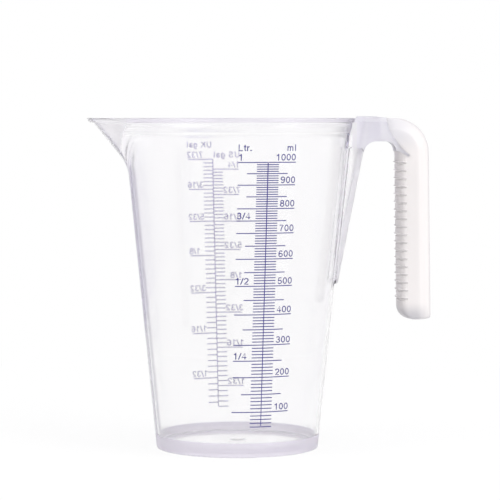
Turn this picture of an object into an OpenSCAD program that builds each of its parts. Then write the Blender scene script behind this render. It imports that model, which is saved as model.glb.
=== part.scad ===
// One litre measuring jug: a tapered clear body with a pouring spout and a ribbed open-ended
// handle, printed with a litre scale at the front and a gallon scale at the back.
// Origin: centre of the base. +X points to the handle, -X to the spout, the litre scale faces -Y.

/* [Jug body] */
// Height of the rim above the 1000 ml mark
headroom = 21.4; // [18:0.2:30]
// Outer diameter of the body at the table
base_d = 82.4; // [76:0.2:90]
// Growth of the outer radius for each millimetre of height
taper_share = 0.1005; // [0.08:0.0005:0.12]
// Thickness of the wall, measured level
wall = 1.7; // [1.4:0.1:2.2]
// Thickness of the floor
floor_t = 1.8; // [1.4:0.1:2.4]
// Depth of the recess under the floor
foot_h = 2.2; // [1.6:0.1:3]
// Width of the ring that the jug stands on
foot_w = 2.6; // [2:0.1:4]
// Chamfer at the outer edge of the foot
foot_chamfer = 0.8; // [0.4:0.1:1.2]
// Radius between the floor and the wall, inside
floor_fillet = 3; // [1.5:0.5:5]
// Diameter of the moulding gate's dimple in the floor
gate_d = 8.6; // [6:0.2:12]
// Height of the gate's dimple
gate_h = 0.9; // [0.4:0.1:1.2]

/* [Rim] */
// Height of the stepped collar, with the lip
collar_h = 8; // [6:0.5:12]
// Step outwards from the wall to the collar
collar_step = 1; // [0.6:0.1:1.4]
// Height of the lip
lip_h = 2.2; // [1.6:0.1:3]
// Width of the lip beyond the collar
lip_w = 1.3; // [0.8:0.1:2]

/* [Spout] */
// Reach of the spout's keel beyond the wall, at the rim
spout_depth = 17.5; // [14:0.1:20]
// Angle of the spout's keel below level
spout_angle = 50.8; // [46:0.2:55]
// Half of the angle between the spout's sides, seen from above
spout_spread = 44; // [38:1:48]
// Thickness of the spout's sides
spout_wall = 1.6; // [1.2:0.1:2]
// Radius of the keel's blunt edge
keel_r = 1.6; // [1:0.1:2]

/* [Handle pillar] */
// Half width of the hollow pillar under the arm
pillar_half_w = 9; // [7:0.5:11]
// Radius of the pillar's upright corners
pillar_r = 4; // [3:0.5:5]
// Depth of the pillar beyond the wall, at its top
pillar_depth = 7.65; // [6:0.05:9]
// Lean of the pillar's outer face from upright
pillar_lean = 10.9; // [9.5:0.1:11.5]
// Height of the pillar, from its lower end to the arm's lower edge
pillar_h = 68.3; // [60:0.1:75]
// Thickness of the pillar's wall
pillar_wall = 1.8; // [1.4:0.1:2.2]

/* [Handle arm] */
// Rise of the arm's top above the rim
arm_rise = 0.9; // [0.5:0.1:1.2]
// Drop from the rim to the arm's lower edge, where it meets the body
arm_root_drop = 15.2; // [13:0.1:18]
// Drop from the rim to the top of the finger opening
arch_drop = 11.7; // [10:0.1:13]
// Half width of the arm where it meets the body
arm_root_half_w = 18.6; // [16:0.2:21]
// Radius of the arch at the body end
arch_r = 6.6; // [5.6:0.2:7]
// Radius of the arch at the grip end
arch_grip_r = 5; // [4:0.2:5.4]
// Thickness of the arm's walls
arm_wall = 2; // [1.6:0.1:2.4]
// Distance from the end of the arm's top skin to the centre of the grip's bend
sleeve_gap = 4.3; // [3:0.1:5]
// Depth of the bevels along the arm's top
arm_bevel = 3.4; // [2:0.1:4]

/* [Grip] */
// Distance from the pillar's top to the centre of the grip's bend
finger_room = 15.3; // [14:0.1:18]
// Radius of the grip's bend at the fingers' side
nose_gap = 0.5; // [0.4:0.1:2]
// Depth of the grip, from the fingers' side to its back
grip_depth = 17; // [16:0.1:17]
// Half of the grip's width
grip_half_w = 11.5; // [10:0.1:13]
// Depth of the rounded fingers' side
grip_nose = 6.2; // [5:0.1:7]
// Depth of the bevel at the grip's back
grip_bevel = 4.6; // [3.6:0.1:5.6]
// Flat width left between the two bevels at the back
grip_back_w = 12; // [9:0.5:14]
// Height of the grip's straight part
grip_h = 84.5; // [70:0.5:90]
// Lean of the grip away from the body
grip_lean = 0.9; // [0:0.1:1.5]
// Thickness of the grip's skin over the core
grip_t = 2.4; // [1.8:0.1:3]
// Gap between the core and the grip's skin
grip_clearance = 0.1; // [0.05:0.01:0.2]
// Radius of the grip's lower corner at the fingers' side
grip_foot_r = 6.5; // [4:0.5:8]
// Number of ribs on the fingers' side
rib_count = 18; // [12:1:20]
// Height of the lowest rib above the grip's lower end
rib_foot = 8.8; // [7.5:0.1:12]
// Thickness of a rib
rib_t = 1.1; // [0.8:0.1:1.6]
// Height of a rib above the grip
rib_h = 0.9; // [0.5:0.1:1.2]
// Drop from the bend to the highest rib
rib_drop = 6; // [4:0.1:8]

/* [Scales] */
// Thickness of the ink
ink_t = 0.1; // [0.06:0.01:0.2]
// Thickness of a printed line
line_t = 0.45; // [0.3:0.05:0.7]
// Half length of a 10 ml mark
mark_10_half = 5.3; // [4:0.1:7]
// Half length of a 50 ml mark
mark_50_half = 10.1; // [8:0.1:12]
// Half length of a 100 ml mark
mark_100_half = 14.5; // [12:0.1:17]
// Length of a small mark on the gallon scales
gallon_mark = 5.2; // [4:0.1:7]
// Length of a labelled mark on the gallon scales
gallon_label_mark = 13.8; // [11:0.1:16]
// Turn of the litre scale from the front towards the handle
front_turn = 15.6; // [0:0.2:25]
// Turn of the gallon scale from the back towards the spout
back_turn = 13.8; // [0:0.2:25]

/* [Hidden] */
$fn = 128;
overrun = 5;
// Lap that joins two stretches of the handle's bar
lap = 0.05;
// One cubic centimetre and the two gallons, in cubic millimetres
ml = 1000;
uk_gallon = 4546.09 * ml;
us_gallon = 3785.41 * ml;
// The gallon scales count in 256ths of a gallon
gallon_parts = 256;
// Every 32nd of a gallon has a long mark
gallon_label_parts = 8;
full_ml = 1000;
first_ml = 60;
mark_step_ml = 10;
middle_step_ml = 50;
long_step_ml = 100;
first_gallon_part = 4;
uk_last_part = 56;
us_last_part = 64;
corner_steps = 6;
nose_steps = 9;
// Shares that set small sizes from larger ones
lip_round_share = 0.4;
keel_inside_share = 0.25;
spout_lip_share = 0.36;
spout_cut_share = 0.42;
flare_share = 1.4;
arm_end_share = 1.5;
spine_share = 0.8;
core_share = 0.6;
core_neck_share = 0.4;
core_chamfer_share = 0.4;
bevel_shares = [0.35, 0.25];
// Places along the sleeve's slanted end, as shares of the grip's depth and of the bend's radius
slant_shares = [0.09, 0.62];
tongue_root_shares = [0.165, 0.16];
tongue_shares = [0.46, -0.08];
tongue_w_share = 0.06;
collar_ramp = collar_step;
lip_round = lip_w * lip_round_share;
floor_z = foot_h + floor_t;
base_r = base_d / 2;
jug_h = fill_z(full_ml * ml) + headroom;
collar_z = jug_h - collar_h;
lip_z = jug_h - lip_h;
spout_reach = outer_r(jug_h) + spout_depth;
arm_top_z = jug_h + arm_rise;
arm_root_z = jug_h - arm_root_drop;
arch_top_z = jug_h - arch_drop;
pillar_top_reach = outer_r(arm_root_z) + pillar_depth;
pillar_foot_z = arm_root_z - pillar_h;
bend_reach = pillar_top_reach + finger_room;
bend_r = nose_gap + grip_depth;
bend_z = jug_h - bend_r;
arm_reach = bend_reach - sleeve_gap;
grip_foot_z = bend_z - grip_h;
rib_pitch = (grip_h - rib_drop - rib_foot) / (rib_count - 1);
line_angle = line_t / base_r * 180 / PI * spine_share;
front_angle = front_turn - 90;
back_angle = back_turn + 90;
// The core's section, measured from the bend's centre line outwards
core_in = nose_gap + grip_nose * core_share;
core_neck_in = arch_top_z - bend_z + arm_wall * core_neck_share;
core_out = bend_r - grip_t;
core_half_w = grip_half_w - grip_t;
core_chamfer = grip_nose * core_chamfer_share;
// The arm's sleeve ends along a slanted line, with a tongue on each side of the grip
slant_reach = arm_reach + grip_depth * slant_shares[0];
slant_z = bend_z + bend_r * slant_shares[1];
tongue_root_reach = bend_reach + grip_depth * tongue_root_shares[0];
tongue_root_z = bend_z + bend_r * tongue_root_shares[1];
tongue_reach = bend_reach + grip_depth * tongue_shares[0];
tongue_z = bend_z + bend_r * tongue_shares[1];
tongue_w = grip_depth * tongue_w_share;

// Outer radius of the tapered body at height z
function outer_r(z) = base_r + taper_share * z;

// Inner radius of the tapered body at height z
function inner_r(z) = outer_r(z) - wall;

// Height at which the jug holds a volume, from the volume of a truncated cone
function fill_z(volume) =
    let (r0 = inner_r(floor_z))
    floor_z + (pow(pow(r0, 3) + 3 * taper_share * volume / PI, 1 / 3) - r0) / taper_share;

// Points along an arc about [x, y], from angle a to angle b
function arc(x, y, r, a, b, steps) =
    [for (i = [0 : steps]) let (t = a + (b - a) * i / steps) [x + r * cos(t), y + r * sin(t)]];

// Half of the section across the grip, from the fingers' side to the back, grown at the nose
function grip_half_section(grow) =
    let (w = grip_half_w + grow)
    concat(
        [for (i = [0 : nose_steps])
            let (t = 90 * i / nose_steps)
            [nose_gap - grow + (grip_nose + grow) * (1 - cos(t)), w * sin(t)]],
        [[bend_r - grip_bevel, w],
         [bend_r - grip_bevel * bevel_shares[0], (w + grip_back_w / 2) / 2 + grip_bevel * bevel_shares[1]],
         [bend_r, grip_back_w / 2]]);

// The whole section, mirrored about its middle
function grip_section(grow) =
    let (half = grip_half_section(grow))
    concat(half, [for (i = [len(half) - 1 : -1 : 1]) [half[i][0], -half[i][1]]]);

// Outside of the body as it would be without its hollow
module body_outside() {
    rotate_extrude()
        polygon(concat(
            [[0, 0],
             [base_r - foot_chamfer, 0],
             [outer_r(foot_chamfer), foot_chamfer],
             [outer_r(collar_z), collar_z],
             [outer_r(collar_z + collar_ramp) + collar_step, collar_z + collar_ramp],
             [outer_r(lip_z) + collar_step, lip_z]],
            arc(outer_r(jug_h) + collar_step + lip_w - lip_round, lip_z + lip_round,
                lip_round, -90, 0, corner_steps),
            arc(outer_r(jug_h) + collar_step + lip_w - lip_round, jug_h - lip_round,
                lip_round, 0, 90, corner_steps),
            [[0, jug_h]]));
}

// The hollow that holds the liquid
module body_inside() {
    rotate_extrude()
        polygon(concat(
            [[0, floor_z]],
            arc(inner_r(floor_z + floor_fillet) - floor_fillet, floor_z + floor_fillet,
                floor_fillet, -90, 0, corner_steps),
            [[inner_r(collar_z + wall), collar_z + wall],
             [inner_r(collar_z + wall + collar_ramp) + collar_step, collar_z + wall + collar_ramp],
             [inner_r(jug_h) + collar_step, jug_h],
             [inner_r(jug_h) + collar_step, jug_h + overrun * 2],
             [0, jug_h + overrun * 2]]));
}

// A wedge with the spout's keel and sides, moved inwards from the outer faces by inset
module spout_wedge(inset) {
    depth = spout_reach * 2;
    keel = [cos(spout_angle), -sin(spout_angle)];
    side = atan(tan(spout_spread) / sin(spout_angle));
    back = inset / sin(side);
    r = max(keel_r - inset, keel_r * keel_inside_share);
    translate([-spout_reach, 0, jug_h])
        rotate([0, spout_angle, 0])
            translate([-overrun * 2, 0, 0])
                rotate([90, 0, 90])
                    linear_extrude(depth)
                        polygon(concat(
                            [[(depth - back) * tan(side), depth], [-(depth - back) * tan(side), depth]],
                            [for (i = [-corner_steps : corner_steps])
                                let (t = -90 + (90 - side) * i / corner_steps)
                                [r * cos(t), back + r / sin(side) + r * sin(t)]]));
}

// Plan of the spout's lip, wider than the sides by grow
module spout_plan(grow) {
    side = grow / sin(spout_spread);
    far = spout_reach * spout_lip_share;
    polygon([
        [-spout_reach - side + lip_w, lip_w * tan(spout_spread)],
        [-spout_reach - side + far, far * tan(spout_spread)],
        [-spout_reach - side + far, -far * tan(spout_spread)],
        [-spout_reach - side + lip_w, -lip_w * tan(spout_spread)]]);
}

// Outside of the spout, with its lip
module spout_outside() {
    intersection() {
        spout_wedge(0);
        translate([-spout_reach - overrun, -spout_reach / 2, base_r])
            cube([spout_reach * spout_cut_share + overrun, spout_reach, jug_h - base_r]);
    }
    translate([0, 0, lip_z])
        linear_extrude(lip_h)
            spout_plan(lip_w);
}

// Channel inside the spout
module spout_inside() {
    intersection() {
        spout_wedge(spout_wall);
        translate([-spout_reach - overrun, -spout_reach / 2, base_r])
            cube([spout_reach * spout_cut_share + overrun, spout_reach, jug_h - base_r + overrun]);
    }
}

// Pillar under the arm, up to top_z, moved inwards from its outer face by inset
module pillar(inset, top_z) {
    r = pillar_r - inset;
    reach = arm_top_z - pillar_foot_z + overrun * 2;
    side = pillar_half_w - pillar_r;
    intersection() {
        translate([pillar_top_reach, 0, arm_root_z])
            rotate([0, pillar_lean, 0])
                translate([-pillar_r, 0, -reach])
                    union() {
                        for (y = [-side, side])
                            translate([0, y, 0])
                                cylinder(r = r, h = reach * 2);
                        translate([-pillar_top_reach / 2, -side - r, 0])
                            cube([pillar_top_reach / 2, 2 * (side + r), reach * 2]);
                        translate([0, -side, 0])
                            cube([r, 2 * side, reach * 2]);
                    }
        translate([base_r - overrun, -pillar_half_w, pillar_foot_z + inset])
            cube([pillar_top_reach, 2 * pillar_half_w, top_z - pillar_foot_z]);
    }
}

// The grip's bar: level from the arm, round the bend and down to its foot
module grip_bar() {
    translate([bend_reach, 0, bend_z]) {
        translate([arm_reach - bend_reach, 0, 0])
            rotate([0, 90, 0])
                rotate([0, 0, 180])
                    linear_extrude(bend_reach - arm_reach + lap)
                        polygon(grip_section(0));
        rotate([90, 0, 0])
            rotate([0, 0, grip_lean])
                rotate_extrude(angle = 90 - grip_lean)
                    polygon(grip_section(0));
        rotate([0, -grip_lean, 0])
            translate([0, 0, lap])
                mirror([0, 0, 1])
                    linear_extrude((bend_z - grip_foot_z) / cos(grip_lean) + lap)
                        polygon(grip_section(0));
    }
}

// Section of the core that the grip is moulded over, from a start to its back
function core_section(start, grow) =
    let (w = core_half_w + grow, a = start - grow, b = core_out + grow, c = core_chamfer)
    [[a, c - w], [a, w - c], [a + c, w], [b - c, w], [b, w - c], [b, c - w], [b - c, -w], [a + c, -w]];

// Core inside the grip, with its neck towards the arm
module grip_core(grow, foot_z) {
    neck = bend_reach - arm_reach + arm_wall;
    translate([bend_reach, 0, bend_z]) {
        translate([-neck, 0, 0])
            rotate([0, 90, 0])
                rotate([0, 0, 180])
                    linear_extrude(neck + lap)
                        polygon(core_section(core_neck_in, grow));
        rotate([90, 0, 0])
            rotate([0, 0, grip_lean])
                rotate_extrude(angle = 90 - grip_lean)
                    polygon(core_section(core_in, grow));
        rotate([0, -grip_lean, 0])
            translate([0, 0, lap])
                mirror([0, 0, 1])
                    linear_extrude((bend_z - foot_z) / cos(grip_lean) + lap)
                        polygon(core_section(core_in, grow));
    }
}

// Gussets that flare the arm into the body, seen from above
module arm_plan() {
    w = grip_half_w + arm_rise;
    flare = arm_root_half_w - w;
    root = sqrt(pow(outer_r(arm_root_z), 2) - pow(arm_root_half_w, 2));
    run = flare * flare_share;
    curve = [for (i = [0 : corner_steps])
        let (t = 90 * i / corner_steps)
        [root + run * (1 - cos(t)), w + flare * (1 - sin(t))]];
    polygon(concat(
        [[root - overrun, -w - flare], [root - overrun, w + flare]],
        curve,
        [for (i = [corner_steps : -1 : 0]) [curve[i][0], -curve[i][1]]]));
}

// Outline of the arm's slanted end, from its top down to the tongue and back to the finger opening
arm_end = [
    [arm_reach, arm_top_z],
    [arm_reach, arm_top_z - arm_rise * 2],
    [slant_reach, slant_z],
    [tongue_root_reach, tongue_root_z],
    [tongue_reach, tongue_z + tongue_w / 2],
    [tongue_reach - tongue_w / 2, tongue_z - tongue_w / 2],
    [bend_reach + nose_gap, bend_z - tongue_w]];

// Outline of the finger opening's rounded top, from the grip to the pillar
arch_outline = concat(
    arc(bend_reach + nose_gap - arch_grip_r, arch_top_z - arch_grip_r, arch_grip_r,
        0, 90, corner_steps),
    arc(pillar_top_reach + arch_r - lip_w / 2, arch_top_z - arch_r, arch_r,
        90, 180 - pillar_lean, corner_steps));

// Side outline extruded across the handle
module across(half_w) {
    translate([0, half_w, 0])
        rotate([90, 0, 0])
            linear_extrude(half_w * 2)
                children();
}

// Outside of the arm, from the body to its slanted end
module arm_outside() {
    w = grip_half_w + arm_rise;
    root = outer_r(arm_root_z) - wall / 2;
    translate([0, 0, arm_root_z])
        linear_extrude(lip_z - arm_root_z)
            arm_plan();
    intersection() {
        across(w)
            polygon(concat([[root, arm_root_z], [root, arm_top_z]], arm_end, arch_outline,
                           [[pillar_top_reach - lip_w, arm_root_z]]));
        translate([base_r, 0, 0])
            rotate([90, 0, 90])
                linear_extrude(tongue_reach)
                    polygon([
                        [-w * 2, bend_z - bend_r], [w * 2, bend_z - bend_r], [w * 2, arm_top_z - arm_bevel],
                        [w, arm_top_z - arm_bevel], [w - arm_bevel, arm_top_z],
                        [arm_bevel - w, arm_top_z], [-w, arm_top_z - arm_bevel],
                        [-w * 2, arm_top_z - arm_bevel]]);
    }
}

// The space left of the grip's upper end
module grip_limit() {
    across(arm_root_half_w)
        polygon(concat(
            [[base_r, bend_z - tongue_w], [base_r, arm_top_z + overrun],
             [arm_reach, arm_top_z + overrun]],
            arm_end));
}

// Hollow under the arm, open downwards
module arm_inside() {
    top = arm_top_z - arm_wall;
    start = pillar_top_reach + pillar_wall;
    translate([start, -grip_half_w + arm_wall, arm_root_z - overrun])
        cube([arm_reach - arm_wall * arm_end_share - start, 2 * (grip_half_w - arm_wall),
              top - arm_root_z + overrun]);
}

// Moulded body with its spout, arm and the core inside the grip
module jug_body() {
    color([0.92, 0.91, 0.95, 0.5]) {
        difference() {
            union() {
                body_outside();
                spout_outside();
                pillar(0, arm_top_z - arm_bevel);
                difference() {
                    arm_outside();
                    arm_inside();
                }
                grip_core(0, grip_foot_z + grip_t + grip_clearance);
            }
            body_inside();
            spout_inside();
            pillar(pillar_wall, arm_top_z + overrun);
            translate([0, 0, -overrun])
                cylinder(r = outer_r(foot_h) - foot_w, h = foot_h + overrun);
        }
        translate([0, 0, floor_z - floor_t / 2])
            cylinder(r1 = gate_d / 2, r2 = gate_d / 2 - gate_h, h = gate_h + floor_t / 2);
    }
}

// One rib, wrapped round the fingers' side of the grip
module rib(depth) {
    translate([bend_reach, 0, bend_z])
        rotate([0, -grip_lean, 0])
            translate([0, 0, -depth - rib_t / 2])
                linear_extrude(rib_t)
                    intersection() {
                        polygon(grip_section(rib_h));
                        translate([nose_gap - rib_h * 2, -grip_half_w * 2])
                            square([grip_nose + rib_h * 2, grip_half_w * 4]);
                    }
}

// Soft grip moulded over the core, with its ribs
module handle_grip() {
    color([0.94, 0.93, 0.93])
        difference() {
            union() {
                grip_bar();
                for (i = [0 : rib_count - 1])
                    rib(rib_drop + i * rib_pitch);
            }
            grip_core(grip_clearance, grip_foot_z + grip_t);
            grip_limit();
            foot_corner();
        }
}

// Rounding of the grip's lower end at the fingers' side
module foot_corner() {
    edge = bend_reach + nose_gap + (bend_z - grip_foot_z) * tan(grip_lean);
    across(grip_half_w * 2)
        difference() {
            translate([edge - overrun, grip_foot_z - overrun])
                square(grip_foot_r + overrun);
            translate([edge + grip_foot_r, grip_foot_z + grip_foot_r])
                circle(grip_foot_r);
        }
}

// One printed line on the tapered wall: z is its middle, from angle a to angle b about the axis
module printed_line(z, a, b) {
    low = z - line_t / 2;
    high = z + line_t / 2;
    rotate([0, 0, a])
        rotate_extrude(angle = b - a)
            polygon([
                [outer_r(low), low],
                [outer_r(low) + ink_t, low],
                [outer_r(high) + ink_t, high],
                [outer_r(high), high]]);
}

// The upright line of a scale, between two heights
module printed_spine(turn, low, high) {
    rotate([0, 0, turn - line_angle / 2])
        rotate_extrude(angle = line_angle)
            polygon([
                [outer_r(low), low],
                [outer_r(low) + ink_t, low],
                [outer_r(high) + ink_t, high],
                [outer_r(high), high]]);
}

// A mark that starts at the scale's upright line and runs to one side of it
module side_mark(z, turn, side, length) {
    sweep = length / outer_r(z) * 180 / PI;
    start = turn + side * line_angle / 2;
    if (side > 0)
        printed_line(z, start, start + sweep);
    else
        printed_line(z, start - sweep, start);
}

// Half length of the litre scale's mark at a volume in millilitres
function front_mark(v) =
    v % long_step_ml == 0 ? mark_100_half : v % middle_step_ml == 0 ? mark_50_half : mark_10_half;

module front_scale_line() {
    color([0.16, 0.16, 0.52])
        printed_spine(front_angle, fill_z(first_ml * ml), fill_z(full_ml * ml));
}

// Long marks at each quarter of a litre, on the left
module front_litre_marks() {
    color([0.16, 0.16, 0.52])
        for (v = [full_ml / 4 : full_ml / 4 : full_ml])
            side_mark(fill_z(v * ml), front_angle, -1, mark_100_half);
}

// Marks at every 10 ml, on both sides but for the quarters of a litre on the left
module front_millilitre_marks() {
    color([0.16, 0.16, 0.52])
        for (v = [first_ml : mark_step_ml : full_ml]) {
            side_mark(fill_z(v * ml), front_angle, 1, front_mark(v));
            if (v % (full_ml / 4) != 0)
                side_mark(fill_z(v * ml), front_angle, -1, front_mark(v));
        }
}

module back_scale_line() {
    color([0.5, 0.48, 0.7])
        printed_spine(back_angle, fill_z(us_gallon * first_gallon_part / gallon_parts),
                      fill_z(uk_gallon * uk_last_part / gallon_parts));
}

// Marks at every 256th of a gallon, longer at every 32nd
module gallon_marks(gallon, last_part, side) {
    color([0.5, 0.48, 0.7])
        for (n = [first_gallon_part : last_part])
            side_mark(fill_z(gallon * n / gallon_parts), back_angle, side,
                      n % gallon_label_parts == 0 ? gallon_label_mark : gallon_mark);
}

module back_uk_gallon_marks() {
    gallon_marks(uk_gallon, uk_last_part, 1);
}

module back_us_gallon_marks() {
    gallon_marks(us_gallon, us_last_part, -1);
}

jug_body();
handle_grip();
front_scale_line();
front_litre_marks();
front_millilitre_marks();
back_scale_line();
back_uk_gallon_marks();
back_us_gallon_marks();
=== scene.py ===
import math
from fractions import Fraction

import bpy
import numpy as np
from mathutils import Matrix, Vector


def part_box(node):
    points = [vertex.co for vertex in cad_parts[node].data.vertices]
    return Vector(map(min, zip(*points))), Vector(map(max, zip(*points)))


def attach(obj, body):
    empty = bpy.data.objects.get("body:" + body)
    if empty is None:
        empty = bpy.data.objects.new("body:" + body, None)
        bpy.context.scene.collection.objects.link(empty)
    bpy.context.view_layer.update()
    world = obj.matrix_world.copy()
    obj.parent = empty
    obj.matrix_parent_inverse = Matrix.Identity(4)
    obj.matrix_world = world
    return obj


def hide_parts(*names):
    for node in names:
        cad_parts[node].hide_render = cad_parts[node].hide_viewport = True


bl_info = {
    "name": "Measuring jug",
    "version": (1, 0, 0),
    "blender": (4, 5, 0),
    "location": "3D View > Sidebar > Measuring jug",
    "description": "A clear one litre measuring jug with a spout, a ribbed handle and printed scales",
    "category": "Add Mesh",
}

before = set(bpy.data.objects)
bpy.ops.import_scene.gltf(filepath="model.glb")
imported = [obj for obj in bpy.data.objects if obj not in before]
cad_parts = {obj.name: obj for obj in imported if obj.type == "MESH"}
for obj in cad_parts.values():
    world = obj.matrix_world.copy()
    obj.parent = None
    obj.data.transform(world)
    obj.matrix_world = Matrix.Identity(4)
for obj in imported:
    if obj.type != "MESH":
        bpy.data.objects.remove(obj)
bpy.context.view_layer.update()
JUG_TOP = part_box("jug_body")[1][2]
# The arm's top above the rim, and the height where the pillar ends and the arm begins
ARM_RISE = 0.0009
ARM_ROOT = 0.15279

# Reach of the round rings that fill the floor, and how far a cutting or joining piece runs past
FLOOR_RINGS = (0.012, 0.028)
OVERRUN = 0.005
# Distance at which vertices are merged on a new piece, and after a cut
SEAM, CUT_SEAM = 2e-7, 2e-6

WHITE = (1, 1, 1)
CLEAR_IOR, GRIP_IOR = 1.45, 1.5


def named(group):
    """Names each property of a group after its name in the script."""
    for name, made in group.__annotations__.items():
        made.keywords["name"] = name.replace("_", " ").capitalize()
    return group


def length(description, default, low=0.0, high=0.3):
    """A size in metres that the sidebar shows as a length."""
    return bpy.props.FloatProperty(
        description=description, default=default, min=low, max=high,
        precision=5, subtype="DISTANCE", unit="LENGTH")


def angle(description, degrees):
    """An angle that the sidebar shows in degrees."""
    return bpy.props.FloatProperty(
        description=description, default=math.radians(degrees), subtype="ANGLE", unit="ROTATION")


def amount(description, default, low=0.0, high=1.0):
    """A plain number between two limits."""
    return bpy.props.FloatProperty(
        description=description, default=default, min=low, max=high, precision=4)


def colour(description, rgb):
    """A colour without alpha."""
    return bpy.props.FloatVectorProperty(
        description=description, default=rgb, min=0.0, max=1.0, size=3, subtype="COLOR")


@named
class JugSizes(bpy.types.PropertyGroup):
    """Sizes of the tapered body, its foot and its rim"""

    rim_height: length("Height of the rim above the table", JUG_TOP - ARM_RISE)
    base_radius: length("Outer radius at the table", 0.0412)
    taper: amount("Growth of the radius for each metre of height", 0.1005)
    wall: length("Thickness of the wall", 0.0017)
    floor_top: length("Height of the floor's upper side", 0.004)
    recess: length("Depth of the recess under the floor", 0.0022)
    foot_width: length("Width of the ring that the jug stands on", 0.0026)
    floor_fillet: length("Radius between the floor and the wall", 0.003)
    gate_radius: length("Radius of the moulding gate's mark in the floor", 0.0043)
    gate_height: length("Height of the moulding gate's mark", 0.0003)
    collar_height: length("Height of the stepped collar", 0.008)
    collar_step: length("Step outwards from the wall to the collar", 0.001)
    lip_height: length("Height of the lip", 0.0022)
    lip_width: length("Width of the lip beyond the collar", 0.0013)


@named
class SpoutSizes(bpy.types.PropertyGroup):
    """Sizes of the pouring spout"""

    reach: length("Reach of the keel from the jug's axis, at the rim", 0.0761)
    keel_angle: angle("Angle of the keel below level", 50.8)
    spread: angle("Half of the angle between the sides, seen from above", 44.0)
    wall: length("Thickness of the spout's sides", 0.0016)
    keel_round: length("Rounding of the keel", 0.0011)
    blend: length("Softness of the bend between the spout and the wall", 0.003)
    collar_blend: length("Extra softness of that bend at the collar", 0.0025)


@named
class PillarSizes(bpy.types.PropertyGroup):
    """Sizes of the hollow pillar under the arm"""

    half_width: length("Half of the pillar's width", 0.009)
    corner: length("Radius of the pillar's upright corners", 0.004)
    top_reach: length("Reach of the outer face at its top", 0.0642)
    top_height: length("Height of the pillar's top", ARM_ROOT)
    foot_height: length("Height of the pillar's lower end", 0.08449)
    lean: angle("Lean of the outer face from upright", 10.9)
    wall: length("Thickness of the pillar's wall", 0.0018)


@named
class ArmSizes(bpy.types.PropertyGroup):
    """Sizes of the arm between the rim and the grip"""

    top_height: length("Height of the arm's top", JUG_TOP)
    root_height: length("Height of the arm's lower edge at the body", ARM_ROOT)
    root_half_width: length("Half of the width where the arm leaves the body", 0.0186)
    half_width: length("Half of the arm's width", 0.0124)
    arch_height: length("Height of the finger opening's top", 0.15629)
    arch_radius: length("Radius of the finger opening at the body", 0.0066)
    arch_grip_radius: length("Radius of the finger opening at the grip", 0.005)
    reach: length("Reach of the arm's top skin", 0.0752)
    wall: length("Thickness of the arm's walls", 0.002)
    bevel: length("Depth of the bevels along the arm's top", 0.0028)
    edge: length("Rounding of the arm's edges", 0.0005)


@named
class GripSizes(bpy.types.PropertyGroup):
    """Sizes of the soft grip"""

    bend_reach: length("Reach of the centre of the bend", 0.0795)
    bend_radius: length("Outer radius of the bend", 0.0175)
    depth: length("Depth from the fingers' side to the back", 0.017)
    half_width: length("Half of the grip's width", 0.0115)
    nose: length("Depth of the rounded fingers' side", 0.0051)
    bevel: length("Depth of the bevel at the back", 0.0055)
    back_width: length("Flat width between the bevels at the back", 0.0115)
    foot_height: length("Height of the grip's lower end", 0.066)
    lean: angle("Lean of the grip away from the body", 0.9)
    foot_radius: length("Radius of the lower corner at the fingers' side", 0.0065)
    rib_count: bpy.props.IntProperty(
        description="Number of ribs on the fingers' side", default=18, min=1, max=40)
    rib_pitch: length("Distance from one rib to the next", 0.00404)
    rib_drop: length("Drop from the bend to the highest rib", 0.0051)
    rib_width: length("Width of a rib", 0.0012)
    rib_height: length("Height of a rib above the grip", 0.00062)
    rib_reach: length("Depth from the fingers' side to the ribs' ends", 0.0051)
    groove_depth: length("Depth of the groove under each rib", 0.00045)


@named
class ScaleSizes(bpy.types.PropertyGroup):
    """Sizes and places of the printed numbers"""

    front_turn: angle("Turn of the litre scale from the front towards the handle", 15.6)
    back_turn: angle("Turn of the gallon scale from the back towards the spout", 13.8)
    digit_height: length("Height of the front scale's digits", 0.0032)
    back_digit_height: length("Height of the back scale's digits", 0.00315)
    stroke: amount("Width of a letter's stroke as a share of its height", 0.155)
    digit_width: amount("Width of a digit as a share of its usual width", 1.15, 0.5, 2.0)
    gap: length("Gap between a line and the digits above it", 0.0009)
    ink: length("Thickness of the ink", 0.0001)
    long_mark: length("Length of a labelled mark of the front scale", 0.0145)
    gallon_mark: length("Length of a labelled mark of the gallon scales", 0.0138)


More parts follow.
